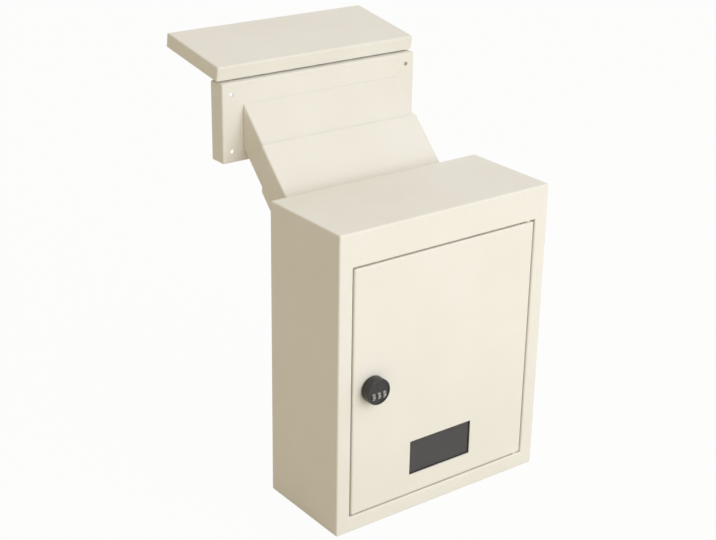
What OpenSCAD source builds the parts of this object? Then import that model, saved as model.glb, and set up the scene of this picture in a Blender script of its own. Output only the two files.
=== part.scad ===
// Through-wall key drop box: an indoor cabinet with a locking door, a slanted telescopic chute,
// and an outdoor wall frame with a hinged flap over its slot.
// Millimetres. +X is right, +Y goes into the wall, +Z is up. The origin is the centre of the four
// wall bolt holes, on the back face of the cabinet.

/* [Sheet steel] */
// Thickness of the steel sheet
sheet = 1.2; // [0.8:0.1:1.6]
// Inside radius of every bend
bend_in = 1; // [0.6:0.1:1.6]

/* [Cabinet] */
// Width of the cabinet
cab_w = 305; // [270:1:400]
// Depth of the cabinet, front to back
cab_d = 133; // [100:1:200]
// Height of the cabinet
cab_h = 375; // [330:1:480]
// Depth of the back panel's welding flange
back_flange = 12; // [8:1:20]
// Distance between the wall bolts, across
bolt_dx = 220; // [120:1:230]
// Height of the lower wall bolts above the bottom
bolt_low = 40; // [25:1:60]
// Distance of the upper wall bolts under the cabinet's top
bolt_top = 135; // [120:1:160]
// Radius of a wall bolt hole
bolt_r = 3.5; // [2.5:0.1:5]

/* [Door opening] */
// Face border beside the door
side_border = 19; // [16:1:28]
// Face border under the door
low_border = 20; // [16:1:30]
// Face border over the door
top_border = 41.5; // [18:0.5:60]
// Corner radius of the opening
open_r = 1; // [0.5:0.5:3]
// Depth of the return round the opening
return_d = 16; // [15:0.5:20]
// Width of the lip behind the return, which the cam locks behind
rear_lip = 8; // [6:0.5:10]
// Width of a door stop tab
tab_w = 8; // [7:0.5:10]
// Height of a door stop tab
tab_h = 16; // [10:1:24]
// Height of the lower stop tab above the opening's edge, and of the upper one below the other edge
tab_in = 40; // [20:1:70]
// Radius of a rubber bumper
bumper_r = 3.4; // [2:0.1:3.6]

/* [Door] */
// Gap round the door
door_gap = 2; // [1.5:0.1:3]
// Depth of the door pan
door_d = 12; // [10:0.5:12.5]
// Distance of the hinge pins from the door's edge
pin_in = 7; // [6:0.1:9]
// Distance of the hinge pins behind the door's face
pin_back = 5; // [4.9:0.1:6]
// Radius of a hinge pin
pin_r = 2; // [1.5:0.1:2.2]
// Radius of a hinge pin's head
pin_head_r = 2.7; // [2.5:0.1:3.2]
// Thickness of a hinge pin's head
pin_head_t = 1.5; // [0.8:0.1:2]
// Length of a hinge pin inside the door
pin_tail = 3; // [2:0.1:6]
// Radius of a hinge washer
washer_r = 3.2; // [2.8:0.1:4]
// Running clearance of a shaft in its hole, each side
run_gap = 0.1; // [0.05:0.01:0.15]
// Seating clearance between parts that nearly touch
seat_gap = 0.3; // [0.2:0.05:0.5]

/* [Window] */
// Width of the window
win_w = 93; // [60:1:120]
// Height of the window
win_h = 45; // [30:1:60]
// Height of the window's middle above the door's lower edge
win_up = 48; // [45:1:70]
// Margin of the pane round the window
pane_lap = 5; // [3:0.5:8]
// Thickness of the pane
pane_t = 2; // [1.5:0.1:3]
// Thickness of the gasket
gasket_t = 0.8; // [0.5:0.1:1.5]
// Width of the gasket that shows inside the window
gasket_in = 1; // [0.2:0.1:2]
// Width of the retainer past the pane, above and below
retainer_bar = 5; // [3:0.5:8]
// Width of the retainer's side that carries the studs
stud_side = 11; // [9:0.5:14]
// Distance of a stud from the retainer's upper or lower edge
stud_in = 8; // [5:0.5:16]
// Radius of a window stud
stud_r = 1.5; // [1.2:0.1:2]
// Length of a stud past its nut
stud_out = 1; // [0.5:0.1:2]
// Thickness of a window nut from its thread to a flat
nut_side = 1.25; // [1:0.05:2]
// Height of a window nut
nut_t = 2.4; // [1.5:0.1:3]

/* [Lock] */
// Distance of the lock from the door's free edge
lock_in = 27; // [25:1:45]
// Height of the lock above the door's lower edge
lock_up = 158.5; // [130:0.5:200]
// Radius of the knob
knob_r = 16; // [15.6:0.1:18]
// Thickness of the knob
knob_t = 12; // [11.7:0.1:15]
// Edge radius of the knob
knob_edge = 1.6; // [0.8:0.1:2]
// Depth of the dish in the knob's face
dish_t = 0.6; // [0.3:0.1:0.8]
// Width of the knob's rim round the dish
dish_rim = 2.4; // [1.8:0.1:2.6]
// Thickness of the fixed collar under the knob
collar_t = 1; // [0.6:0.1:2]
// Distance of the collar's edge inside the knob's
collar_in = 1; // [0.2:0.1:2]
// Radius of the lock's threaded sleeve
sleeve_r = 9.3; // [8:0.1:10]
// Depth of a flat on the threaded sleeve
flat_in = 1.1; // [0.6:0.1:1.6]
// Thickness of the lock's nut from its thread to a flat
lock_nut_side = 2.7; // [2:0.1:4]
// Height of the lock's nut
lock_nut_t = 4; // [3:0.1:6]
// Radius of the spindle
spindle_r = 6; // [5:0.1:6.5]
// Side of the spindle's square end
square_s = 7; // [6:0.1:7]
// Thickness of the cam
cam_t = 2; // [1.5:0.1:3]
// Half width of the cam
cam_r = 8; // [7:0.1:10]
// Distance that the cam reaches past the opening's edge
cam_reach = 6; // [4:0.5:7]
// Radius of the cam screw
cam_screw_r = 2; // [1.5:0.1:2.4]
// Depth of the cam screw's hole
cam_screw_d = 9; // [7:0.5:12]
// Room at the end of the cam screw's hole
cam_screw_end = 1; // [0.5:0.1:2]
// Radius of the cam screw's head
cam_head_r = 4.6; // [4:0.1:6]
// Height of the cam screw's head
cam_head_t = 2.6; // [1.6:0.1:4]

/* [Number wheels] */
// Radius of a number wheel
wheel_r = 6; // [5.5:0.1:6.2]
// Width of a number wheel
wheel_w = 4.6; // [3.6:0.1:5]
// Distance between neighbouring wheels
wheel_pitch = 7.5; // [6.6:0.1:7.6]
// Height that a wheel stands out of the dish
wheel_out = 1.6; // [1:0.1:2]
// Distance of the wheels under the middle of the knob
wheel_drop = 4.7; // [4:0.1:5]
// Room round a wheel in the knob
wheel_gap = 0.3; // [0.2:0.05:0.4]
// Radius of the wheels' axle
axle_r = 1.2; // [0.8:0.1:1.4]
// Length of the axle held in the knob at each end
axle_in = 1.6; // [1:0.1:2]
// Numbers on a wheel
numbers = 10; // [6:1:12]
// Radius of a notch between two numbers
notch_r = 0.5; // [0.3:0.1:0.6]

/* [Chute] */
// Slope of the chute
chute_tilt = 45; // [40:1:50]
// Distance of the chute's top under the cabinet's top, at the back face
chute_drop = 34; // [20:1:50]
// Width of the lower, outer sleeve
chute_w = 232; // [150:1:240]
// Height of the lower sleeve, square to its slope
chute_h = 43; // [34:1:44]
// Distance of the lower sleeve's end from the back face
lower_end = 74; // [60:1:90]
// Distance that the upper sleeve reaches back inside the lower one, level
chute_lap = 49; // [30:1:60]
// Clearance between the sleeves, each side
slide_gap = 0.8; // [0.4:0.1:1.2]
// Width of the flange at a sleeve's end
chute_flange = 10; // [6:0.5:12]
// Clearance round a sleeve in the plate that it goes through
cut_gap = 0.2; // [0.1:0.1:1]

/* [Wall frame] */
// Thickness of the wall between the cabinet and the frame
wall_t = 116; // [100:1:140]
// Width of the wall frame
frame_w = 286.4; // [270:0.1:300]
// Height of the wall frame
frame_h = 98; // [90:1:110]
// Depth of the wall frame
frame_d = 24; // [18:0.5:25]
// Distance of the chute's top under the frame's top
mouth_drop = 28; // [24:0.5:32]
// Distance of a frame hole from the frame's side
hole_in_x = 13; // [8:0.5:14]
// Distance of a frame hole from the frame's top or bottom
hole_in_z = 14; // [8:0.5:16]
// Radius of a frame hole
hole_r = 2.6; // [1.6:0.1:3.2]

/* [Flap] */
// Length of the flap, hinge edge to free edge
flap_len = 117.5; // [112:0.5:130]
// Height of the flap's lips
flap_lip = 17.4; // [17:0.1:20]
// Clearance between the flap's side lips and the frame
flap_gap = 0.8; // [0.5:0.1:1.5]
// Angle that the opened flap rises to its free edge
flap_tilt = 9; // [0:1:15]
// Distance of the hinge axis from the frame's wall face
hinge_set = 11.8; // [10:0.1:12.5]
// Number of hinge knuckles, both leaves together
knuckles = 18; // [6:2:24]
// Outer radius of a knuckle
knuckle_r = 2.2; // [1.9:0.1:2.6]
// Radius of the hinge rod
rod_r = 1.1; // [0.8:0.1:1.2]
// Length of the hinge rod past the last knuckle
rod_out = 2.2; // [1:0.1:4]
// Gap between two knuckles
knuckle_gap = 0.4; // [0.3:0.1:0.8]
// Thickness of a hinge leaf
leaf_t = 1; // [0.8:0.1:1.2]
// Width of a hinge leaf from the axis
leaf_w = 10; // [8:0.5:11]
// Distance of the hinge's ends from the frame's sides
hinge_end = 8; // [4:0.5:20]

/* [Hidden] */
$fn = 64;
far = 1200;                                     // longer than any part, for cuts that go right through
cream = [0.93, 0.9, 0.84];
zinc = [0.72, 0.73, 0.75];
black = [0.13, 0.12, 0.12];
rubber = [0.08, 0.08, 0.08];
smoke = [0.26, 0.24, 0.23];
nylon = [0.8, 0.79, 0.75];

bend_r = bend_in + sheet;                       // outside radius of a bend
bolt_dz = cab_h - bolt_low - bolt_top;
bolt_mid = bolt_low + bolt_dz / 2;              // height of the origin above the cabinet's bottom

open_w = cab_w - 2 * side_border;
open_h = cab_h - low_border - top_border;
open_mid = low_border + open_h / 2;
door_w = open_w - 2 * door_gap;
door_h = open_h - 2 * door_gap;
door_low = low_border + door_gap;
bumper_t = return_d - sheet - door_d - seat_gap;
bumper_x = -open_w / 2 + bumper_r + seat_gap;

pane_back = sheet + gasket_t + pane_t;          // depth of the pane's back face in the door
retainer_w = win_w + 2 * pane_lap + 2 * stud_side;
retainer_h = win_h + 2 * pane_lap + 2 * retainer_bar;
stud_dx = retainer_w - stud_side;
stud_dz = retainer_h - 2 * stud_in;

lock_x = -door_w / 2 + lock_in;
sleeve_d = return_d + seat_gap;                 // depth of the sleeve's end, just short of the cam
cam_front = return_d + 2 * seat_gap;
cam_len = lock_in + door_gap + cam_reach;
knob_base = collar_t + seat_gap;
wheel_in = knob_t - dish_t - wheel_r + wheel_out;  // height of the wheels' axle over the knob's base
axle_end = wheel_pitch + wheel_w / 2 + wheel_gap + axle_in;

upper_off = sheet + slide_gap;                  // step from the lower sleeve's outside to the upper one's
upper_w = chute_w - 2 * upper_off;
upper_h = chute_h - 2 * upper_off;
mid_z = cab_h - chute_drop - chute_h / 2 / cos(chute_tilt);
function chute_z(y) = mid_z + y * tan(chute_tilt);
function rise(h) = h / 2 / cos(chute_tilt);     // half the height of a sleeve's upright section
upper_tail = lower_end - chute_lap;

frame_top = chute_z(wall_t) + rise(upper_h) + mouth_drop;
frame_mid = frame_top - frame_h / 2;
hinge_y = wall_t + hinge_set;
hinge_lift = knuckle_r + seat_gap;              // axis above the frame, and in from the flap's lip
hinge_z = frame_top + hinge_lift;
hinge_len = frame_w - 2 * hinge_end;
knuckle_pitch = hinge_len / knuckles;
knuckle_w = knuckle_pitch - knuckle_gap;
flap_w = frame_w + 2 * (sheet + flap_gap);
flap_mid = flap_len / 2 - hinge_lift - sheet;

// Places

// From the cabinet's own frame, with its bottom at height 0, to the frame of the wall bolts
module on_wall() { translate([0, 0, -bolt_mid]) children(); }

// Stands a flat shape up: its X stays, its Y points up and its Z goes into the wall
module stand_up() { rotate([90, 0, 0]) mirror([0, 0, 1]) children(); }

module at_front(z) { translate([0, -cab_d, z]) stand_up() children(); }

module at_lock() { on_wall() translate([lock_x, -cab_d, door_low + lock_up]) children(); }

// The hinge axis of the flap, turned with the opened flap
module at_flap() { on_wall() translate([0, hinge_y, hinge_z]) rotate([flap_tilt, 0, 0]) children(); }

module both_ends() { for (end = [0, 1]) mirror([0, 0, end]) children(); }

module four_corners(dx, dy) {
    for (x = [-1, 1], y = [-1, 1]) translate([x * dx / 2, y * dy / 2]) children();
}

// Flat shapes

module rounded(w, h, r) {
    square([w - 2 * r, h], center = true);
    square([w, h - 2 * r], center = true);
    four_corners(w - 2 * r, h - 2 * r) circle(r = r);
}

// Quarter bend from the flat face at x = 0 to an upright wall at x = bend_r
module bend() {
    intersection() {
        translate([0, bend_r]) difference() {
            circle(r = bend_r);
            circle(r = bend_in);
        }
        square(bend_r);
    }
}

// Section of a pan's edge: a bend, then an upright wall
module lip(depth) {
    bend();
    translate([bend_in, bend_r]) square([sheet, depth - bend_r]);
}

// Section of the return round the door opening: a bend, a wall and a lip turned outwards behind it
module return_section() {
    translate([open_r + bend_r, 0]) mirror([1, 0]) lip(return_d);
    translate([open_r, return_d - sheet]) square([rear_lip, sheet]);
}

// Sheet metal

// Carries a section round a rectangle whose corner axes lie w and h apart
module round_rectangle(w, h) {
    for (side = [0:3]) {
        across = side % 2 == 0 ? w : h;
        along = side % 2 == 0 ? h : w;
        rotate([0, 0, 90 * side]) translate([across / 2, along / 2, 0]) {
            rotate([90, 0, 0]) linear_extrude(along) children();
            rotate_extrude(angle = 90) children();
        }
    }
}

// Folded pan: a flat face at z = 0 with lips that rise all round it
module pan(w, h, depth) {
    linear_extrude(sheet) square([w - 2 * bend_r, h - 2 * bend_r], center = true);
    round_rectangle(w - 2 * bend_r, h - 2 * bend_r) lip(depth);
}

// Solid bar along the chute's slope
module slope_bar(w, h, r) {
    translate([0, 0, mid_z]) rotate([chute_tilt - 90, 0, 0])
        linear_extrude(far, center = true) rounded(w, h, r);
}

module cut_to(y0, y1) {
    intersection() {
        children();
        translate([-far / 2, y0, -far / 2]) cube([far, y1 - y0, far]);
    }
}

// Sleeve with upright ends, and a flange at one of them
module sleeve(w, h, y0, y1, flange_y) {
    difference() {
        union() {
            cut_to(y0, y1) slope_bar(w, h, bend_r);
            translate([0, flange_y, chute_z(flange_y + sheet / 2)]) stand_up()
                linear_extrude(sheet) rounded(w + 2 * chute_flange, 2 * (rise(h) + chute_flange), bend_r);
        }
        slope_bar(w - 2 * sheet, h - 2 * sheet, bend_in);
    }
}

// Cabinet

module cabinet_wrap() {
    color(cream) on_wall() at_front(cab_h / 2)
        round_rectangle(cab_w - 2 * bend_r, cab_h - 2 * bend_r) lip(cab_d);
}

module stop_tab(z) {
    translate([-open_w / 2 - sheet, z - tab_h / 2, return_d - sheet]) cube([tab_w + sheet, tab_h, sheet]);
}

module front_frame() {
    color(cream) on_wall() difference() {
        union() {
            at_front(cab_h / 2) linear_extrude(sheet) difference() {
                square([cab_w - 2 * bend_r, cab_h - 2 * bend_r], center = true);
                translate([0, open_mid - cab_h / 2])
                    rounded(open_w + 2 * bend_r, open_h + 2 * bend_r, open_r + bend_r);
            }
            at_front(open_mid) {
                round_rectangle(open_w - 2 * open_r, open_h - 2 * open_r) return_section();
                stop_tab(tab_in - open_h / 2);
                stop_tab(open_h / 2 - tab_in);
            }
        }
        pin_axis() cylinder(r = pin_r + run_gap / 2, h = far, center = true);
    }
}

module back_panel() {
    color(cream) on_wall() difference() {
        translate([0, 0, cab_h / 2]) mirror([0, 1, 0]) stand_up()
            pan(cab_w - 2 * sheet, cab_h - 2 * sheet, back_flange);
        translate([0, 0, bolt_mid]) stand_up() four_corners(bolt_dx, bolt_dz)
            cylinder(r = bolt_r, h = 4 * sheet, center = true);
        cut_to(-2 * sheet, sheet) slope_bar(chute_w + 2 * cut_gap, chute_h + 2 * cut_gap, bend_r);
    }
}

module lower_chute() {
    color(cream) on_wall() sleeve(chute_w, chute_h, -2 * sheet, lower_end, -2 * sheet);
}

module door_bumpers() {
    color(rubber) on_wall() at_front(open_mid) for (z = [tab_in - open_h / 2, open_h / 2 - tab_in])
        translate([bumper_x, z, door_d + seat_gap]) cylinder(r = bumper_r, h = bumper_t);
}

// Door hinge: a pin at each end of the door, behind its right edge

module pin_axis() {
    translate([door_w / 2 - pin_in, pin_back - cab_d, open_mid]) children();
}

module hinge_pins() {
    color(zinc) on_wall() pin_axis() both_ends() {
        translate([0, 0, door_h / 2 - sheet - pin_tail])
            cylinder(r = pin_r, h = pin_tail + door_gap + 2 * sheet);
        translate([0, 0, open_h / 2 + sheet]) cylinder(r = pin_head_r, h = pin_head_t);
    }
}

module hinge_washers() {
    color(nylon) on_wall() pin_axis() both_ends() translate([0, 0, door_h / 2 + seat_gap]) difference() {
        cylinder(r = washer_r, h = door_gap - seat_gap);
        cylinder(r = pin_r + run_gap, h = far, center = true);
    }
}

// Door

module door() {
    color(cream) difference() {
        on_wall() difference() {
            at_front(open_mid) pan(door_w, door_h, door_d);
            pin_axis() cylinder(r = pin_r + run_gap, h = far, center = true);
        }
        at_window() linear_extrude(3 * sheet, center = true) rounded(win_w, win_h, bend_in);
        at_lock() stand_up() linear_extrude(3 * sheet, center = true) lock_outline(run_gap);
    }
}

module at_window() { on_wall() at_front(door_low + win_up) children(); }

module window_ring(outer_w, outer_h, gap, thick) {
    linear_extrude(thick) difference() {
        rounded(outer_w, outer_h, bend_r);
        rounded(win_w - 2 * gap, win_h - 2 * gap, bend_in);
    }
}

module window_gasket() {
    color(rubber) at_window() translate([0, 0, sheet])
        window_ring(win_w + 2 * pane_lap, win_h + 2 * pane_lap, gasket_in, gasket_t);
}

module window_pane() {
    color(smoke) at_window() translate([0, 0, sheet + gasket_t]) linear_extrude(pane_t)
        rounded(win_w + 2 * pane_lap, win_h + 2 * pane_lap, bend_r);
}

module window_retainer() {
    color(cream) at_window() translate([0, 0, pane_back]) difference() {
        window_ring(retainer_w, retainer_h, 0, sheet);
        four_corners(stud_dx, stud_dz) cylinder(r = stud_r + 2 * run_gap, h = far, center = true);
    }
}

module window_studs() {
    color(zinc) at_window() translate([0, 0, sheet]) four_corners(stud_dx, stud_dz)
        cylinder(r = stud_r, h = gasket_t + pane_t + sheet + nut_t + stud_out);
}

module window_nuts() {
    color(zinc) at_window() translate([0, 0, pane_back + sheet]) four_corners(stud_dx, stud_dz)
        nut(stud_r, nut_side, nut_t);
}

module nut(thread_r, side, height) {
    difference() {
        cylinder(r = (thread_r + side) / cos(30), h = height, $fn = 6);
        cylinder(r = thread_r + run_gap / 2, h = far, center = true);
    }
}

// Lock

module lock_outline(gap) {
    intersection() {
        circle(r = sleeve_r + gap);
        square([far, 2 * (sleeve_r - flat_in + gap)], center = true);
    }
}

// Fixed body of the lock: a collar on the door's face and a threaded sleeve with two flats
module lock_sleeve() {
    color(black) at_lock() stand_up() difference() {
        union() {
            translate([0, 0, -collar_t]) cylinder(r = knob_r - collar_in, h = collar_t);
            linear_extrude(sleeve_d) lock_outline(0);
        }
        cylinder(r = spindle_r + run_gap, h = far, center = true);
    }
}

module lock_nut() {
    color(zinc) at_lock() stand_up() translate([0, 0, sheet]) nut(sleeve_r, lock_nut_side, lock_nut_t);
}

// The knob's own frame: its base at height 0, its face away from the door
module at_knob() { at_lock() translate([0, -knob_base, 0]) rotate([90, 0, 0]) children(); }

// Axis of the number wheels, along X
module at_wheels() { at_knob() translate([0, -wheel_drop, wheel_in]) rotate([0, 90, 0]) children(); }

module knob_body() {
    rotate_extrude() {
        square([knob_r, knob_t - knob_edge]);
        square([knob_r - knob_edge, knob_t]);
        translate([knob_r - knob_edge, knob_t - knob_edge]) circle(r = knob_edge);
    }
}

module lock_knob() {
    color(black) difference() {
        at_knob() difference() {
            intersection() {
                knob_body();
                cylinder(r = 2 * knob_r, h = knob_t);
            }
            translate([0, 0, knob_t - dish_t]) cylinder(r = knob_r - dish_rim, h = far);
        }
        at_wheels() {
            for (x = [-1:1]) translate([0, 0, x * wheel_pitch])
                cylinder(r = wheel_r + wheel_gap, h = wheel_w + 2 * wheel_gap, center = true);
            cylinder(r = axle_r, h = 2 * axle_end, center = true);
        }
    }
}

module wheel_axle() {
    color(zinc) at_wheels() cylinder(r = axle_r, h = 2 * axle_end, center = true);
}

// Wheel with a notch between each two of its numbers
module number_wheel(x) {
    color(black) at_wheels() translate([0, 0, x * wheel_pitch]) difference() {
        cylinder(r = wheel_r, h = wheel_w, center = true);
        cylinder(r = axle_r + run_gap, h = 2 * wheel_w, center = true);
        for (k = [0:numbers - 1]) rotate([0, 0, 360 / numbers * (k + 0.5)]) translate([wheel_r, 0, 0])
            cylinder(r = notch_r, h = 2 * wheel_w, center = true, $fn = 16);
    }
}

module lock_spindle() {
    color(zinc) at_lock() stand_up() difference() {
        union() {
            translate([0, 0, -knob_base]) cylinder(r = spindle_r, h = knob_base + cam_front);
            linear_extrude(cam_front + cam_t - 2 * run_gap) square(square_s, center = true);
        }
        translate([0, 0, cam_front + cam_t - cam_screw_d]) cylinder(r = cam_screw_r, h = far);
    }
}

// Flat cam, pointing up while the lock is open
module lock_cam() {
    color(zinc) at_lock() stand_up() translate([0, 0, cam_front]) linear_extrude(cam_t) difference() {
        union() {
            circle(r = cam_r);
            translate([-cam_r, 0]) square([2 * cam_r, cam_len - cam_r]);
            translate([0, cam_len - cam_r]) circle(r = cam_r);
        }
        square(square_s + 2 * run_gap, center = true);
    }
}

module cam_screw() {
    color(zinc) at_lock() stand_up() translate([0, 0, cam_front + cam_t]) {
        cylinder(r = cam_head_r, h = cam_head_t);
        translate([0, 0, cam_screw_end - cam_screw_d])
            cylinder(r = cam_screw_r, h = cam_screw_d - cam_screw_end + cam_head_t / 2);
    }
}

// Outdoor side

module upper_chute() {
    color(cream) on_wall() sleeve(upper_w, upper_h, upper_tail, wall_t + 2 * sheet, wall_t + sheet);
}

module wall_frame() {
    color(cream) on_wall() difference() {
        translate([0, wall_t, frame_mid]) stand_up() difference() {
            pan(frame_w, frame_h, frame_d);
            four_corners(frame_w - 2 * hole_in_x, frame_h - 2 * hole_in_z)
                cylinder(r = hole_r, h = 4 * sheet, center = true);
        }
        cut_to(wall_t - sheet, wall_t + 2 * sheet)
            slope_bar(upper_w + 2 * cut_gap, upper_h + 2 * cut_gap, bend_r);
    }
}

// One leaf of the long hinge. The rod's axis is X, the leaf runs along +Y and lies under the axis.
// Knuckles number first, first + 2, ... belong to it, and it clears the other leaf's knuckles.
module hinge_leaf(first) {
    clear = knuckle_r + knuckle_gap;
    difference() {
        union() {
            translate([-hinge_len / 2, clear, -hinge_lift]) cube([hinge_len, leaf_w - clear, leaf_t]);
            for (k = [first:2:knuckles - 1])
                translate([-hinge_len / 2 + k * knuckle_pitch + knuckle_gap / 2, 0, 0]) {
                    translate([0, 0, -hinge_lift]) cube([knuckle_w, clear, leaf_t]);
                    rotate([0, 90, 0]) cylinder(r = knuckle_r, h = knuckle_w);
                }
        }
        rotate([0, 90, 0]) cylinder(r = rod_r + run_gap, h = far, center = true);
    }
}

module frame_hinge_leaf() {
    color(zinc) on_wall() translate([0, hinge_y, hinge_z]) hinge_leaf(0);
}

module hinge_rod() {
    color(zinc) on_wall() translate([0, hinge_y, hinge_z]) rotate([0, 90, 0])
        cylinder(r = rod_r, h = hinge_len + 2 * rod_out, center = true);
}

// Flap: a pan turned over, with its hinge lip just behind the axis
module slot_flap() {
    color(cream) at_flap() translate([0, flap_mid, flap_lip]) mirror([0, 0, 1])
        pan(flap_w, flap_len, flap_lip);
}

module flap_hinge_leaf() {
    color(zinc) at_flap() rotate([90, 0, 0]) mirror([0, 0, 1]) hinge_leaf(1);
}

cabinet_wrap();
front_frame();
back_panel();
lower_chute();
hinge_pins();
hinge_washers();
door_bumpers();
door();
window_gasket();
window_pane();
window_retainer();
window_studs();
window_nuts();
lock_sleeve();
lock_nut();
lock_knob();
wheel_axle();
lock_spindle();
lock_cam();
cam_screw();
number_wheel(-1);  // number_wheel_1
number_wheel(0);  // number_wheel_2
number_wheel(1);  // number_wheel_3
upper_chute();
wall_frame();
frame_hinge_leaf();
hinge_rod();
slot_flap();
flap_hinge_leaf();
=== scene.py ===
# %% [markdown]
# # A through-wall key drop box
# A cabinet hangs on the inside of a wall. A slanted chute of two sleeves climbs through the wall to a shallow
# frame outside, where a hinged flap covers the slot. The sheet metal, hinges, lock and window come from the CAD
# model, so this script does three jobs: it lights and frames the object, it gives every surface its finish, and
# it adds the small things that a maker would not draw in CAD, such as threads, nut faces, weld marks and numbers.

# %% Load the CAD model as the frame
import math

import bmesh
import bpy
from mathutils import Matrix, Vector


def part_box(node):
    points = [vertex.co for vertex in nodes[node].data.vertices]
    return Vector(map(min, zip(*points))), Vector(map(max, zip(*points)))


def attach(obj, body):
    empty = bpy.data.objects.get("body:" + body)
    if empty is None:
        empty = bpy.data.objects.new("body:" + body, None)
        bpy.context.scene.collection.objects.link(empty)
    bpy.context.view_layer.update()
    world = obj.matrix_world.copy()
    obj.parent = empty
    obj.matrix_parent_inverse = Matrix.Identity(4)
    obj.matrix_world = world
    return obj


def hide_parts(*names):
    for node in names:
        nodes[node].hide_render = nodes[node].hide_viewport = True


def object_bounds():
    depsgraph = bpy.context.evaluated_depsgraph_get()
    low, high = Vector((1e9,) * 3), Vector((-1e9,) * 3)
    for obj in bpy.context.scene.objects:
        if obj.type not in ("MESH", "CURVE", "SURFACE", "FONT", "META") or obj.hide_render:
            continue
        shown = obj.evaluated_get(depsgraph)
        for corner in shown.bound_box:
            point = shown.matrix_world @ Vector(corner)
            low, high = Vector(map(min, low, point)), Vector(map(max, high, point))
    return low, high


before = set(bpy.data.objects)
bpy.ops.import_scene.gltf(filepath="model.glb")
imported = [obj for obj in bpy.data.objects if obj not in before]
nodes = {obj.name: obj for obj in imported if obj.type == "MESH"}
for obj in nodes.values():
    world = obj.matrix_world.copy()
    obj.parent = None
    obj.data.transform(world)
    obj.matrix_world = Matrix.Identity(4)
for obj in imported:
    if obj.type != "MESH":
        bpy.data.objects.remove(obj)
cad_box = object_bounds()
MM = 0.001
print("CAD nodes:", len(nodes), "box", [tuple(round(x, 4) for x in c) for c in cad_box])

# %% [markdown]
# ## Camera
# A product photograph is taken from some way off with a longish lens, so that upright edges stay nearly parallel.
# The camera stands to the left of the cabinet, a little above it, and tips down about 22 degrees.
# A camera looks along its own -Z with +Y up, so its turn is a matrix of right, up and backward.

# %% Place the camera
camera_spot = Vector((-1.0132, -1.3113, 0.8033))
camera_forward = Vector((0.55486, 0.73811, -0.38383)).normalized()
camera_up = Vector((0.21745, 0.31666, 0.92328))
camera_lens = 74.05

right = camera_forward.cross(camera_up).normalized()
up = right.cross(camera_forward)
camera = bpy.data.objects.new("camera", bpy.data.cameras.new("camera"))
camera.data.lens = camera_lens
camera.data.clip_start, camera.data.clip_end = 0.01, 50
turn = Matrix((right, up, -camera_forward)).transposed().to_4x4()
camera.matrix_world = Matrix.Translation(camera_spot) @ turn
bpy.context.scene.collection.objects.link(camera)
bpy.context.scene.camera = camera
print("camera", round(camera_lens, 1), "mm,", round((camera_spot - sum(cad_box, Vector()) / 2).length, 2), "m away")

# %% [markdown]
# ## Node helpers
# Every finish below is a small node tree. Two short helpers keep the trees readable: one adds a node and sets
# its sockets by name, the other wires an output to an input.

# %% Helpers for node trees
def add(tree, kind, sockets=None, **settings):
    """Adds a node, sets its properties, then its input sockets by name or number."""
    node = tree.nodes.new(kind)
    for name, value in settings.items():
        setattr(node, name, value)
    for name, value in (sockets or {}).items():
        if isinstance(value, bpy.types.NodeSocket):
            tree.links.new(value, node.inputs[name])
        else:
            node.inputs[name].default_value = value
    return node


def new_material(name):
    """An empty material with its Principled shader wired to the output."""
    material = bpy.data.materials.new(name)
    material.use_nodes = True
    tree = material.node_tree
    tree.nodes.clear()
    shader = add(tree, "ShaderNodeBsdfPrincipled")
    add(tree, "ShaderNodeOutputMaterial", {"Surface": shader.outputs["BSDF"]})
    return material, tree, shader


def noise(tree, size, detail=2.0, roughness=0.5):
    """Noise on object coordinates, whose lumps are about `size` metres wide."""
    place = tree.nodes.get("place") or add(tree, "ShaderNodeTexCoord", name="place")
    return add(tree, "ShaderNodeTexNoise", {"Vector": place.outputs["Object"], "Scale": 1 / size,
               "Detail": detail, "Roughness": roughness}).outputs["Fac"]


def between(tree, factor, low, high, spread=(0.3, 0.7)):
    """A number that goes from low to high as the factor crosses the spread."""
    return add(tree, "ShaderNodeMapRange", {"Value": factor, "From Min": spread[0], "From Max": spread[1],
               "To Min": low, "To Max": high}).outputs["Result"]


def tint(tree, factor, first, second, spread=(0.3, 0.7)):
    """A colour that goes from the first to the second as the factor crosses the spread."""
    ramp = add(tree, "ShaderNodeValToRGB", {"Fac": factor})
    for stop, at, colour in zip(ramp.color_ramp.elements, spread, (first, second)):
        stop.position, stop.color = at, (*colour, 1)
    return ramp.outputs["Color"]


def bump(tree, height, depth, strength=1.0, onto=None):
    """Turns a height from 0 to 1 into a bump of that depth in metres."""
    sockets = {"Height": height, "Distance": depth, "Strength": strength}
    if onto is not None:
        sockets["Normal"] = onto
    return add(tree, "ShaderNodeBump", sockets).outputs["Normal"]


print("helpers ready")

# %% [markdown]
# ## Floor and background
# The box stands on a white floor that runs out of sight into a white world. Both are drawn white only for the
# camera and for reflections, through Light Path, so the white never adds light to the paint. A share of the
# floor's own shading is left in, and that share carries the soft shadow under the cabinet.

# %% White world and pale floor
light_from_right = (1.18, 1.21, 1.23)
light_from_left = (0.37, 0.29, 0.145)
floor_colour = (0.7, 0.66, 0.57)
floor_shading = 0.045
floor_size = 12.0
white = (1.0, 1.0, 1.0, 1.0)


def seen_directly(tree):
    """1 for rays from the camera and for those that come by reflection or through glass."""
    path = add(tree, "ShaderNodeLightPath")
    total = path.outputs["Is Camera Ray"]
    for name in ("Is Glossy Ray", "Is Transmission Ray"):
        total = add(tree, "ShaderNodeMath", {0: total, 1: path.outputs[name]}, operation="MAXIMUM").outputs[0]
    return total


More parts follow.
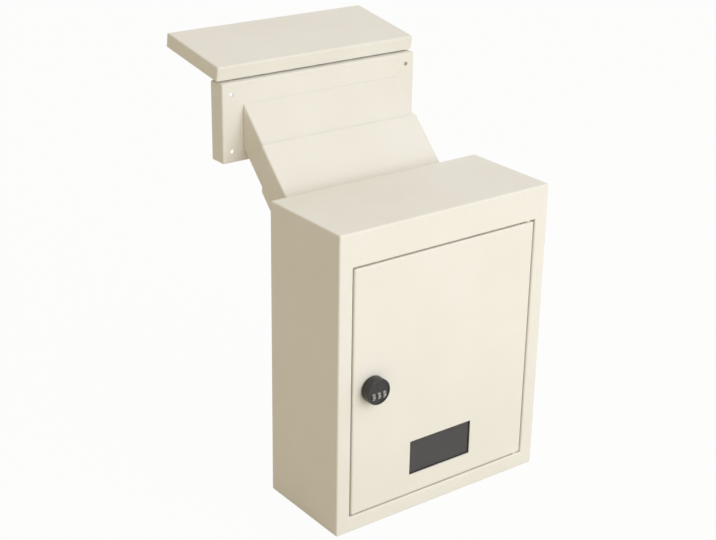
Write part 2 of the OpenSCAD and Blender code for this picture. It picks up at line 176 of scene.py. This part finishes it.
world = bpy.data.worlds.new("studio")
world.use_nodes = True
sky = world.node_tree
sky.nodes.clear()
way = add(sky, "ShaderNodeSeparateXYZ", {0: add(sky, "ShaderNodeTexCoord").outputs["Generated"]})
across = add(sky, "ShaderNodeMapRange", {"Value": way.outputs["X"], "From Min": -1, "From Max": 1})
daylight = add(sky, "ShaderNodeMix", {"Factor": across.outputs[0]}, data_type="RGBA")
daylight.inputs[6].default_value = (*light_from_left, 1)
daylight.inputs[7].default_value = (*light_from_right, 1)
light_side = add(sky, "ShaderNodeBackground", {"Color": daylight.outputs[2], "Strength": 1.0})
white_side = add(sky, "ShaderNodeBackground", {"Color": white, "Strength": 1.0})
sky_mix = add(sky, "ShaderNodeMixShader", {0: seen_directly(sky), 1: light_side.outputs[0],
                                           2: white_side.outputs[0]})
add(sky, "ShaderNodeOutputWorld", {"Surface": sky_mix.outputs[0]})
bpy.context.scene.world = world

floor_paint = bpy.data.materials.new("floor_paper")
floor_paint.use_nodes = True
paper = floor_paint.node_tree
paper.nodes.clear()
matt = add(paper, "ShaderNodeBsdfDiffuse", {"Color": (*floor_colour, 1)})
paper_white = add(paper, "ShaderNodeEmission", {"Color": white, "Strength": 1.0})
share = add(paper, "ShaderNodeMath", {0: seen_directly(paper), 1: 1 - floor_shading}, operation="MULTIPLY")
paper_mix = add(paper, "ShaderNodeMixShader", {0: share.outputs[0], 1: matt.outputs[0], 2: paper_white.outputs[0]})
add(paper, "ShaderNodeOutputMaterial", {"Surface": paper_mix.outputs[0]})

floor_mesh = bpy.data.meshes.new("floor")
half = floor_size / 2
floor_z = cad_box[0].z - 0.2 * MM
floor_mesh.from_pydata([(-half, -half, floor_z), (half, -half, floor_z), (half, half, floor_z),
                        (-half, half, floor_z)], [], [(0, 1, 2, 3)])
floor_mesh.materials.append(floor_paint)
floor = bpy.data.objects.new("floor", floor_mesh)
bpy.context.scene.collection.objects.link(floor)
print("floor at", round(floor_z, 4))

# %% [markdown]
# ## Lights
# One large soft lamp stands in front of the cabinet, a little above it, so the door is brightest. The world does
# the rest: it is brighter on the right than on the left, so the top is a little darker than the door and the
# left side lies in warm shade. Their strength is set so that a colour renders about as it is written.

# %% Soft studio lights
def softbox(name, spot, aim, size, power, colour):
    """A round area lamp at spot that faces aim. Size is in metres, power in watts."""
    lamp = bpy.data.lights.new(name, "AREA")
    lamp.shape, lamp.size, lamp.energy, lamp.color = "DISK", size, power, colour
    lamp_object = bpy.data.objects.new(name, lamp)
    direction = Vector(aim) - Vector(spot)
    lamp_object.matrix_world = Matrix.Translation(spot) @ direction.to_track_quat("-Z", "Y").to_matrix().to_4x4()
    bpy.context.scene.collection.objects.link(lamp_object)
    lamp_object.visible_camera = False


object_middle = (0.0, 0.05, 0.1)
front_lamp_spot, front_lamp_size, front_lamp_power = (0.25, -1.7, 0.75), 1.5, 13.6
front_lamp_colour = (0.94, 0.98, 1.06)
softbox("front_lamp", front_lamp_spot, object_middle, front_lamp_size, front_lamp_power, front_lamp_colour)

# %% [markdown]
# ## Cream powder coat
# The steel is powder coated: fine powder is baked until it flows into one skin. Up close that skin has a faint
# orange peel a millimetre or two across and a finer grain on it, and a satin shine. Two noises at those two
# sizes make the bump, and a third, much larger, keeps the cream from being one dead colour.

# %% Powder coat
cream_light = (0.834, 0.805, 0.732)
cream_deep = (0.808, 0.776, 0.699)
peel_size, peel_depth = 2.2 * MM, 0.016 * MM
grain_size, grain_depth = 0.5 * MM, 0.006 * MM

cream_paint, tree, shader = new_material("cream_paint")
tree.links.new(tint(tree, noise(tree, 90 * MM, 3), cream_deep, cream_light), shader.inputs["Base Color"])
tree.links.new(between(tree, noise(tree, 12 * MM, 2), 0.40, 0.50), shader.inputs["Roughness"])
peel = bump(tree, noise(tree, peel_size), peel_depth)
grain = bump(tree, noise(tree, grain_size, 3), grain_depth, onto=peel)
tree.links.new(grain, shader.inputs["Normal"])
print("made", cream_paint.name)

# %% [markdown]
# ## Zinc, lock black, wheels, rubber, nylon
# The hinge parts and fasteners are zinc plated: bright grey metal with a cloudy, slightly rough skin. The lock is
# die cast and painted satin black. Its wheels are grey plastic. Bumpers and gasket are dull rubber, and the
# washers are milky nylon.

# %% Small finishes
zinc_steel, tree, shader = new_material("zinc_steel")
shader.inputs["Metallic"].default_value = 1.0
tree.links.new(tint(tree, noise(tree, 6 * MM, 4), (0.56, 0.57, 0.59), (0.70, 0.71, 0.72)),
               shader.inputs["Base Color"])
tree.links.new(between(tree, noise(tree, 1.5 * MM, 3), 0.24, 0.42), shader.inputs["Roughness"])
tree.links.new(bump(tree, noise(tree, 0.4 * MM, 2), 0.008 * MM), shader.inputs["Normal"])

black_lock, tree, shader = new_material("black_lock")
tree.links.new(tint(tree, noise(tree, 3 * MM, 3), (0.017, 0.016, 0.015), (0.027, 0.025, 0.024)),
               shader.inputs["Base Color"])
tree.links.new(between(tree, noise(tree, 1.2 * MM, 3), 0.30, 0.42), shader.inputs["Roughness"])
tree.links.new(bump(tree, noise(tree, 0.35 * MM, 2), 0.010 * MM), shader.inputs["Normal"])

grey_wheels, tree, shader = new_material("grey_wheels")
tree.links.new(tint(tree, noise(tree, 2 * MM, 3), (0.16, 0.155, 0.15), (0.20, 0.195, 0.19)),
               shader.inputs["Base Color"])
tree.links.new(between(tree, noise(tree, 0.8 * MM, 2), 0.35, 0.48), shader.inputs["Roughness"])
tree.links.new(bump(tree, noise(tree, 0.3 * MM, 2), 0.006 * MM), shader.inputs["Normal"])

number_paint, tree, shader = new_material("number_paint")
tree.links.new(tint(tree, noise(tree, 1 * MM, 2), (0.70, 0.69, 0.66), (0.78, 0.77, 0.74)),
               shader.inputs["Base Color"])
tree.links.new(between(tree, noise(tree, 0.5 * MM, 2), 0.45, 0.60), shader.inputs["Roughness"])

black_rubber, tree, shader = new_material("black_rubber")
tree.links.new(tint(tree, noise(tree, 4 * MM, 3), (0.018, 0.018, 0.018), (0.030, 0.029, 0.028)),
               shader.inputs["Base Color"])
tree.links.new(between(tree, noise(tree, 1 * MM, 2), 0.62, 0.78), shader.inputs["Roughness"])
tree.links.new(bump(tree, noise(tree, 0.25 * MM, 2), 0.012 * MM), shader.inputs["Normal"])

nylon, tree, shader = new_material("nylon")
shader.inputs["Subsurface Weight"].default_value = 0.15
shader.inputs["Subsurface Radius"].default_value = (1.5 * MM, 1.4 * MM, 1.2 * MM)
tree.links.new(tint(tree, noise(tree, 3 * MM, 2), (0.74, 0.72, 0.66), (0.79, 0.78, 0.72)),
               shader.inputs["Base Color"])
tree.links.new(between(tree, noise(tree, 1 * MM, 2), 0.38, 0.5), shader.inputs["Roughness"])
print("made", [m.name for m in (zinc_steel, black_lock, grey_wheels, number_paint, black_rubber, nylon)])

# %% [markdown]
# ## Smoked acrylic
# The window is a thin sheet of smoked acrylic. It is clear but dark, so the finish has two jobs: let light
# through with a grey-brown tint, and keep a sharp, weak reflection on its face.

# %% Smoked acrylic
smoked_acrylic, tree, shader = new_material("smoked_acrylic")
shader.inputs["Transmission Weight"].default_value = 0.85
shader.inputs["IOR"].default_value = 1.49
tree.links.new(tint(tree, noise(tree, 30 * MM, 2), (0.20, 0.185, 0.18), (0.235, 0.22, 0.212)),
               shader.inputs["Base Color"])
tree.links.new(between(tree, noise(tree, 15 * MM, 3), 0.04, 0.09), shader.inputs["Roughness"])
print("made", smoked_acrylic.name)

# %% [markdown]
# ## Dressing the CAD pieces
# Every CAD piece keeps its own mesh and only gets a better finish. A maker thinks of it as sorting the parts by
# the bath they go through: powder coat, zinc, black paint, or bare plastic and rubber. So one table lists the
# pieces under each finish, and a loop puts the finish into every material slot of each piece.

# %% Give each CAD node its finish
finishes = {
    cream_paint: ["cabinet_wrap", "front_frame", "back_panel", "lower_chute", "door", "window_retainer",
                  "upper_chute", "wall_frame", "slot_flap"],
    zinc_steel: ["hinge_pins", "window_studs", "window_nuts", "lock_nut", "wheel_axle", "lock_spindle",
                 "lock_cam", "cam_screw", "frame_hinge_leaf", "hinge_rod", "flap_hinge_leaf"],
    black_lock: ["lock_sleeve", "lock_knob"],
    grey_wheels: ["number_wheel_1", "number_wheel_2", "number_wheel_3"],
    smoked_acrylic: ["window_pane"],
    black_rubber: ["window_gasket", "door_bumpers"],
    nylon: ["hinge_washers"],
}
for material, names in finishes.items():
    for name in names:
        for slot in nodes[name].material_slots:
            slot.material = material
print("dressed", sum(map(len, finishes.values())), "of", len(nodes), "nodes")

# %% [markdown]
# ## Turning a node tree into a mesh
# Numbers, threads and weld marks repeat by a rule, so Geometry Nodes make them. A tree starts from an empty mesh,
# builds its shape, and ends in Realize Instances and Set Material. The result is copied out as a plain mesh with
# its place in its points, and only then does it ride on its body.

# %% Helpers for Geometry Nodes
def new_shape_tree(name, inputs):
    """A geometry tree with named inputs, and the sockets that carry them."""
    tree = bpy.data.node_groups.new(name, "GeometryNodeTree")
    for label, kind in inputs.items():
        tree.interface.new_socket(label, in_out="INPUT", socket_type="NodeSocket" + kind)
    tree.interface.new_socket("Geometry", in_out="OUTPUT", socket_type="NodeSocketGeometry")
    entry = tree.nodes.new("NodeGroupInput")
    return tree, {label: entry.outputs[label] for label in inputs}


def math_node(tree, operation, first, second=0.0):
    return add(tree, "ShaderNodeMath", {0: first, 1: second}, operation=operation).outputs[0]


def close_tree(tree, geometry, material):
    """Ends a tree in Realize Instances and Set Material."""
    real = add(tree, "GeometryNodeRealizeInstances", {"Geometry": geometry})
    painted = add(tree, "GeometryNodeSetMaterial", {"Geometry": real.outputs[0], "Material": material})
    add(tree, "NodeGroupOutput", {"Geometry": painted.outputs[0]})


def grow(tree, values):
    """Runs a tree with its values set by socket identifier, and returns the result as a plain mesh."""
    carrier = bpy.data.objects.new(tree.name, bpy.data.meshes.new(tree.name))
    bpy.context.scene.collection.objects.link(carrier)
    modifier = carrier.modifiers.new("shape", "NODES")
    modifier.node_group = tree
    ids = {item.name: item.identifier for item in tree.interface.items_tree if item.in_out == "INPUT"}
    for label, value in values.items():
        modifier[ids[label]] = value
    ready = carrier.evaluated_get(bpy.context.evaluated_depsgraph_get())
    mesh = bpy.data.meshes.new_from_object(ready)
    bpy.data.objects.remove(carrier)
    return mesh


def put(name, mesh, body, sharp=35):
    """Makes a finished mesh a piece: at the origin, smooth but for its sharp edges, riding on its body."""
    piece = bpy.data.objects.new(name, mesh)
    bpy.context.scene.collection.objects.link(piece)
    mesh.shade_smooth()
    mesh.set_sharp_from_angle(angle=math.radians(sharp))
    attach(piece, body)
    print(f"{name}: {len(mesh.polygons)} faces on {body}")
    return piece


# %% [markdown]
# ## Numbers on the lock's wheels
# Each wheel carries the ten digits round its rim, raised a hair above the plastic. String to Curves gives one
# instance for each character. The tree moves instance i along a strip by i steps, fills and thickens the strokes,
# and then wraps the strip round the wheel's axle.

# %% Raise the numbers on each wheel
bpy.data.curves.new("font_loader", "FONT")     # a text curve brings Blender's own plain font into the file
digits = "0123456789"
digit_size = 3.5 * MM
digit_point_gap = 0.12 * MM
ink_sunk, ink_height = 0.03 * MM, 0.10 * MM
wheel_low, wheel_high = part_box("number_wheel_2")
rim_radius = (wheel_high.z - wheel_low.z) / 2

tree, given = new_shape_tree("wheel_digits", {"Digit size": "Float", "Rim radius": "Float", "Axle": "Vector"})
strip = add(tree, "GeometryNodeStringToCurves", {"String": digits, "Size": given["Digit size"]},
            font=bpy.data.fonts[0], pivot_mode="MIDPOINT")
index = add(tree, "GeometryNodeInputIndex").outputs[0]
step = math_node(tree, "MULTIPLY", given["Rim radius"], 2 * math.pi / len(digits))
spot = add(tree, "ShaderNodeCombineXYZ", {"Y": math_node(tree, "MULTIPLY", index, step)})
centred = add(tree, "ShaderNodeVectorMath", {0: spot.outputs[0], 1: strip.outputs["Pivot Point"]},
              operation="SUBTRACT")
laid = add(tree, "GeometryNodeSetPosition", {"Geometry": strip.outputs[0], "Position": centred.outputs[0]})
outlines = add(tree, "GeometryNodeRealizeInstances", {"Geometry": laid.outputs[0]})
fine = add(tree, "GeometryNodeResampleCurve", {"Curve": outlines.outputs[0], "Length": digit_point_gap},
           mode="LENGTH")
faces = add(tree, "GeometryNodeFillCurve", {"Curve": fine.outputs[0]})
raised = add(tree, "GeometryNodeExtrudeMesh", {"Mesh": faces.outputs[0], "Offset Scale": ink_height,
                                               "Individual": False})
base = add(tree, "GeometryNodeFlipFaces", {"Mesh": faces.outputs[0]})
both = add(tree, "GeometryNodeJoinGeometry")
for part in (raised, base):
    tree.links.new(part.outputs[0], both.inputs[0])
solid = add(tree, "GeometryNodeMergeByDistance", {"Geometry": both.outputs[0], "Distance": 0.001 * MM})
flat = add(tree, "ShaderNodeSeparateXYZ", {0: add(tree, "GeometryNodeInputPosition").outputs[0]})
angle = math_node(tree, "DIVIDE", flat.outputs["Y"], given["Rim radius"])
reach = math_node(tree, "ADD", math_node(tree, "SUBTRACT", flat.outputs["Z"], ink_sunk), given["Rim radius"])
round_rim = add(tree, "ShaderNodeCombineXYZ", {
    "X": flat.outputs["X"],
    "Y": math_node(tree, "MULTIPLY", math_node(tree, "MULTIPLY", math_node(tree, "COSINE", angle), reach), -1.0),
    "Z": math_node(tree, "MULTIPLY", math_node(tree, "SINE", angle), reach)})
on_axle = add(tree, "ShaderNodeVectorMath", {0: round_rim.outputs[0], 1: given["Axle"]})
wrapped = add(tree, "GeometryNodeSetPosition", {"Geometry": solid.outputs[0], "Position": on_axle.outputs[0]})
close_tree(tree, wrapped.outputs[0], number_paint)

for number in (1, 2, 3):
    low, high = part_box(f"number_wheel_{number}")
    mesh = grow(tree, {"Digit size": digit_size, "Rim radius": rim_radius, "Axle": tuple((low + high) / 2)})
    put(f"wheel_digits_{number}", mesh, f"wheel_{number}")

# %% [markdown]
# ## Threads
# The lock's sleeve is threaded so that one big nut clamps it to the door, and its two flats keep it from turning.
# A thread is a spiral, so Curve to Mesh carries a small diamond along one. Where the sleeve is flat, the ridge is
# cut off flat too, so the tree clamps its points to the flats.

# %% Wind the threads
sleeve_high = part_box("lock_sleeve")[1]
nut_low, nut_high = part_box("lock_nut")
lock_centre = (nut_low + nut_high) / 2
sleeve_radius, sleeve_flat = 9.3 * MM, 8.2 * MM
thread_pitch, thread_ridge = 1.0 * MM, 0.30 * MM
flat_depth = 0.04 * MM                          # keeps the cut ridge just under the flat

tree, given = new_shape_tree("thread", {"Radius": "Float", "Pitch": "Float", "Turns": "Float", "Ridge": "Float",
                                        "Half flat": "Float", "Start": "Vector"})
rise = math_node(tree, "MULTIPLY", given["Pitch"], given["Turns"])
coil = add(tree, "GeometryNodeCurveSpiral", {"Resolution": 48, "Rotations": given["Turns"], "Height": rise,
           "Start Radius": given["Radius"], "End Radius": given["Radius"]})
diamond = add(tree, "GeometryNodeCurvePrimitiveCircle", {"Resolution": 4, "Radius": given["Ridge"]})
ridge = add(tree, "GeometryNodeCurveToMesh", {"Curve": coil.outputs[0], "Profile Curve": diamond.outputs[0],
                                              "Fill Caps": True})
laid = add(tree, "GeometryNodeTransform", {"Geometry": ridge.outputs[0]})
laid.inputs["Rotation"].default_value = (-math.pi / 2, 0, 0)
point = add(tree, "ShaderNodeSeparateXYZ", {0: add(tree, "GeometryNodeInputPosition").outputs[0]})
held = add(tree, "ShaderNodeClamp", {"Value": point.outputs["Z"], "Max": given["Half flat"],
                                     "Min": math_node(tree, "MULTIPLY", given["Half flat"], -1.0)})
cut = add(tree, "ShaderNodeCombineXYZ", {"X": point.outputs["X"], "Y": point.outputs["Y"], "Z": held.outputs[0]})
there = add(tree, "ShaderNodeVectorMath", {0: cut.outputs[0], 1: given["Start"]})
moved = add(tree, "GeometryNodeSetPosition", {"Geometry": laid.outputs[0], "Position": there.outputs[0]})
close_tree(tree, moved.outputs[0], black_lock)

thread_start = nut_high.y + thread_ridge
thread_turns = (sleeve_high.y - thread_ridge - thread_start) / thread_pitch
mesh = grow(tree, {"Radius": sleeve_radius, "Pitch": thread_pitch, "Turns": thread_turns, "Ridge": thread_ridge,
                   "Half flat": sleeve_flat - flat_depth,
                   "Start": (lock_centre.x, thread_start, lock_centre.z)})
put("sleeve_thread", mesh, "door")

# %% [markdown]
# ## Nuts
# A hexagon nut is turned to a cone at both ends before it is tapped, which leaves a curved arc at the foot of
# each corner. Ring by ring, the mesh follows the hexagon at the sides, drops at the corners by the cone's slope,
# and turns in to the bore. The window's four nuts are one such mesh set on a grid of four points.

# %% Shape the nuts
NUT_STEPS = 48                                  # points round a nut, eight to a side
FACE_SHARE = 0.96                               # the flat ring on a nut's end, as a share of its half width
COUNTERSINK_SHARE = 0.35                        # the countersink, as a share of the wall round the bore
CHAMFER_SLOPE = math.tan(math.radians(28))


def nut_mesh(name, across_flats, bore, height, centres, material):
    """Chamfered hexagon nuts whose axes run along Y. Each centre is the middle of the nut's front face."""
    half = across_flats / 2
    face_radius = FACE_SHARE * half
    lead = COUNTERSINK_SHARE * (half - bore)
    shape = bmesh.new()
    for centre in centres:
        rings = []
        for side, depth in ((0, 0.0), (1, height)):
            sign = 1 if side == 0 else -1
            outer, face, inner, mouth = [], [], [], []
            for k in range(NUT_STEPS):
                turn = 2 * math.pi * k / NUT_STEPS
                radius = half / math.cos((turn % (math.pi / 3)) - math.pi / 6)
                drop = (radius - face_radius) * CHAMFER_SLOPE
                for ring, r, y in ((outer, radius, depth + sign * drop), (face, face_radius, depth),
                                   (mouth, bore + lead, depth), (inner, bore, depth + sign * lead)):
                    ring.append(shape.verts.new((centre[0] + r * math.cos(turn), centre[1] + y,
                                                 centre[2] + r * math.sin(turn))))
            rings.append((outer, face, mouth, inner))
        loop = [*reversed(rings[0]), *rings[1]]
        for first, second in zip(loop, loop[1:] + loop[:1]):
            for k in range(NUT_STEPS):
                n = (k + 1) % NUT_STEPS
                shape.faces.new((first[k], first[n], second[n], second[k]))
    bmesh.ops.recalc_face_normals(shape, faces=shape.faces)
    mesh = bpy.data.meshes.new(name)
    shape.to_mesh(mesh)
    shape.free()
    mesh.materials.append(material)
    return mesh


window_nut_flats, stud_radius = 5.5 * MM, 1.5 * MM
small_low, small_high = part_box("window_nuts")
stud_low, stud_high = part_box("window_studs")
corners = [(x, small_low.y, z) for x in (stud_low.x + stud_radius, stud_high.x - stud_radius)
           for z in (stud_low.z + stud_radius, stud_high.z - stud_radius)]
mesh = nut_mesh("window_nut_set", window_nut_flats, stud_radius, small_high.y - small_low.y, corners, zinc_steel)
nut_set = put("window_nut_set", mesh, "door")
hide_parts("window_nuts")

lock_nut_flats = nut_high.z - nut_low.z
mesh = nut_mesh("sleeve_nut", lock_nut_flats, sleeve_radius, nut_high.y - nut_low.y,
                [(lock_centre.x, nut_low.y, lock_centre.z)], zinc_steel)
sleeve_nut = put("sleeve_nut", mesh, "door")
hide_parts("lock_nut")

# %% [markdown]
# ## Cam screw
# The cam is held by a pan head screw with a cross recess. The head is a lathe shape: a straight rim, a rolled
# shoulder and a low crown. The recess is two tapered blades taken out of it by an exact Boolean.

# %% Turn the cam screw and cut its cross
def lathe(name, profile, centre, steps, material):
    """A closed shape turned round a Y axis through centre. Profile is (radius, y) from axis to axis."""
    shape = bmesh.new()
    rings = []
    for radius, y in profile:
        if radius == 0:
            rings.append([shape.verts.new((centre[0], centre[1] + y, centre[2]))] * steps)
        else:
            rings.append([shape.verts.new((centre[0] + radius * math.cos(2 * math.pi * k / steps), centre[1] + y,
                                           centre[2] + radius * math.sin(2 * math.pi * k / steps)))
                          for k in range(steps)])
    for first, second in zip(rings, rings[1:]):
        for k in range(steps):
            n = (k + 1) % steps
            corners = [first[k], first[n], second[n], second[k]]
            shape.faces.new([v for i, v in enumerate(corners) if v not in corners[:i]])
    bmesh.ops.recalc_face_normals(shape, faces=shape.faces)
    mesh = bpy.data.meshes.new(name)
    shape.to_mesh(mesh)
    shape.free()
    mesh.materials.append(material)
    return mesh


def carve(mesh, cutter):
    """Takes one closed mesh out of another, and returns the result as a plain mesh."""
    body, tool = (bpy.data.objects.new(m.name, m) for m in (mesh, cutter))
    for item in (body, tool):
        bpy.context.scene.collection.objects.link(item)
    modifier = body.modifiers.new("cut", "BOOLEAN")
    modifier.object, modifier.operation, modifier.solver = tool, "DIFFERENCE", "EXACT"
    modifier.use_self = True
    ready = body.evaluated_get(bpy.context.evaluated_depsgraph_get())
    result = bpy.data.meshes.new_from_object(ready)
    for item in (body, tool):
        bpy.data.objects.remove(item)
    return result


screw_low, screw_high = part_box("cam_screw")
head_radius, head_height, screw_radius = (screw_high.x - screw_low.x) / 2, 2.6 * MM, 2.0 * MM
crown_height = head_height * 0.62
lathe_steps = 48
screw_centre = ((screw_low.x + screw_high.x) / 2, screw_high.y, (screw_low.z + screw_high.z) / 2)
crown = [(head_radius * math.sin(math.radians(a)), crown_height * (math.cos(math.radians(a)) - 1))
         for a in range(0, 91, 10)]
profile = [*crown, (head_radius, -head_height), (screw_radius, -head_height),
           (screw_radius, screw_low.y - screw_high.y), (0, screw_low.y - screw_high.y)]
head = lathe("cam_screw_head", profile, screw_centre, lathe_steps, zinc_steel)

blade_length, blade_width, blade_depth = 2.6 * MM, 0.55 * MM, 1.5 * MM
above_head = 1 * MM                             # the blades start clear of the crown
length_taper, width_taper = 0.35, 0.6           # what is left of each blade at its foot
blades = bmesh.new()
for turned in (False, True):
    top = [(sx * blade_length, above_head, sz * blade_width) for sx, sz in ((-1, -1), (1, -1), (1, 1), (-1, 1))]
    foot = [(length_taper * x, -blade_depth, width_taper * z) for x, y, z in top]
    verts = [blades.verts.new(Vector(screw_centre) + Vector((z, y, -x) if turned else (x, y, z)))
             for x, y, z in top + foot]
    for ids in ((0, 1, 2, 3), (7, 6, 5, 4), (0, 4, 5, 1), (1, 5, 6, 2), (2, 6, 7, 3), (3, 7, 4, 0)):
        blades.faces.new([verts[i] for i in ids])
bmesh.ops.recalc_face_normals(blades, faces=blades.faces)
cross = bpy.data.meshes.new("cross")
blades.to_mesh(cross)
blades.free()
cam_head = put("cam_pan_screw", carve(head, cross), "knob")
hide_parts("cam_screw")

# %% [markdown]
# ## Weld marks
# The flanges of the chute and the leaves of the long hinge are spot welded. Each weld leaves a coin-sized dimple
# with a raised rim, and the paint flows over it. One tree sets such a mark on every point of a line and turns it
# to face out of the sheet.

# %% Press the weld marks
mark_radius, rim_thickness = 2.4 * MM, 0.16 * MM
nugget_foot, nugget_top, nugget_height = 0.5, 0.3, 0.5     # shares of the mark's radius and the rim's thickness
tree, given = new_shape_tree("weld_row", {"Marks": "Int", "First": "Vector", "Step": "Vector", "Facing": "Vector",
                                          "Mark radius": "Float", "Rim": "Float", "Paint": "Material"})
row = add(tree, "GeometryNodeMeshLine", {"Count": given["Marks"], "Start Location": given["First"],
                                         "Offset": given["Step"]})
rim_path = add(tree, "GeometryNodeCurvePrimitiveCircle", {"Resolution": 28, "Radius": given["Mark radius"]})
rim_section = add(tree, "GeometryNodeCurvePrimitiveCircle", {"Resolution": 6, "Radius": given["Rim"]})
rim = add(tree, "GeometryNodeCurveToMesh", {"Curve": rim_path.outputs[0], "Profile Curve": rim_section.outputs[0]})
nugget = add(tree, "GeometryNodeMeshCone", {
    "Vertices": 20,
    "Radius Bottom": math_node(tree, "MULTIPLY", given["Mark radius"], nugget_foot),
    "Radius Top": math_node(tree, "MULTIPLY", given["Mark radius"], nugget_top),
    "Depth": math_node(tree, "MULTIPLY", given["Rim"], nugget_height)})
mark = add(tree, "GeometryNodeJoinGeometry")
for part in (rim, nugget):
    tree.links.new(part.outputs[0], mark.inputs[0])
turned = add(tree, "FunctionNodeAlignRotationToVector", {"Vector": given["Facing"]}, axis="Z")
marks = add(tree, "GeometryNodeInstanceOnPoints", {"Points": row.outputs[0], "Instance": mark.outputs[0],
                                                   "Rotation": turned.outputs[0]})
close_tree(tree, marks.outputs[0], given["Paint"])


def weld_rows(name, rows, facing, body, material):
    """One piece with a row of marks for each (first, last, count), all facing one way."""
    shape = bmesh.new()
    for first, last, count in rows:
        step = (Vector(last) - Vector(first)) / (count - 1)
        mesh = grow(tree, {"Marks": count, "First": tuple(first), "Step": tuple(step), "Facing": tuple(facing),
                           "Mark radius": mark_radius, "Rim": rim_thickness, "Paint": material})
        shape.from_mesh(mesh)
    mesh = bpy.data.meshes.new(name)
    shape.to_mesh(mesh)
    shape.free()
    mesh.materials.append(material)
    put(name, mesh, body)


flange_half = 5.0 * MM                          # the welds run along the middle of each 10 mm flange
upper_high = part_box("upper_chute")[1]
lower_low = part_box("lower_chute")[0]
upper_flange_height, lower_flange_height = 75.15 * MM, 80.81 * MM
weld_reach = 100 * MM
leaf_weld_reach = 120 * MM
flange_marks, leaf_marks = 6, 9

tops = [upper_high.z - flange_half, upper_high.z - upper_flange_height + flange_half]
rows = [((-weld_reach, upper_high.y, z), (weld_reach, upper_high.y, z), flange_marks) for z in tops]
weld_rows("outdoor_flange_welds", rows, (0, 1, 0), "outdoor_unit", cream_paint)
tops = [lower_low.z + flange_half, lower_low.z + lower_flange_height - flange_half]
rows = [((-weld_reach, lower_low.y, z), (weld_reach, lower_low.y, z), flange_marks) for z in tops]
weld_rows("indoor_flange_welds", rows, (0, -1, 0), "cabinet", cream_paint)

leaf_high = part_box("frame_hinge_leaf")[1]
frame_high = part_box("wall_frame")[1]
leaf_thickness, weld_from_edge = 1.0 * MM, 3.4 * MM
leaf_top = frame_high.z + leaf_thickness
weld_line = leaf_high.y - weld_from_edge
rows = [((-leaf_weld_reach, weld_line, leaf_top), (leaf_weld_reach, weld_line, leaf_top), leaf_marks)]
weld_rows("frame_leaf_welds", rows, (0, 0, 1), "outdoor_unit", zinc_steel)

# %% [markdown]
# ## Colour view
# The colours are shown through the Standard view transform. Nothing added here may make the object bigger than
# its CAD model.

# %% Set the view transform
bpy.context.scene.view_settings.view_transform = "Standard"
